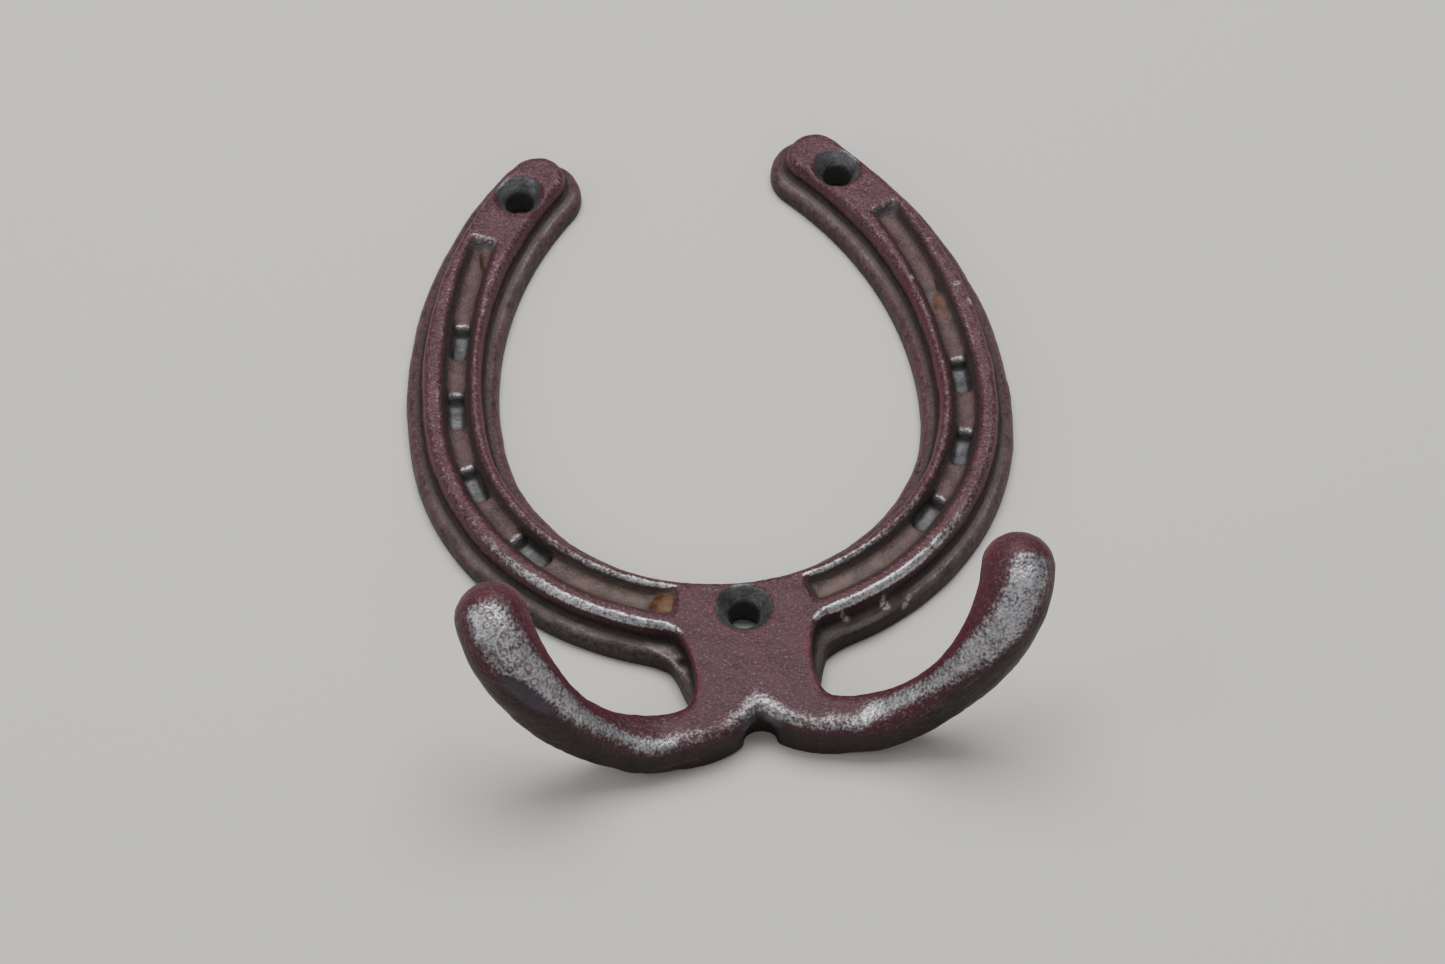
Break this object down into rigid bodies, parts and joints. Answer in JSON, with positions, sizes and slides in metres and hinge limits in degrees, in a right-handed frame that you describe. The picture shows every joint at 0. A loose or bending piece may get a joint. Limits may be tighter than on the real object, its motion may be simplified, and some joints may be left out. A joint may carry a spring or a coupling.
{
  "type": "horseshoe wall hook",
  "caption": "Cast wall hook in the shape of a horseshoe: a ridged U band, a toe plate with a neck, outward-curving tack hooks, and countersunk screw holes at toe and heels.",
  "frame": {"origin": "axis of the toe screw hole, in the flat back face that lies against the wall", "axes": "+Z out of the front face, the way the hooks stand; +Y from the toe to the heels (up on a wall); +X to the right as seen from the front"},
  "size_m": [0.1088, 0.1404, 0.0373],
  "materials": {
    "painted_iron": "dark red paint over cast iron, rubbed to bare silvery iron on the raised edges and the hooks' faces"
  },
  "bodies": {
    "root": {"toe_plate": "painted_iron", "left_branch": "painted_iron", "right_branch": "painted_iron", "left_hook": "painted_iron", "right_hook": "painted_iron"}
  },
  "joints": []
}
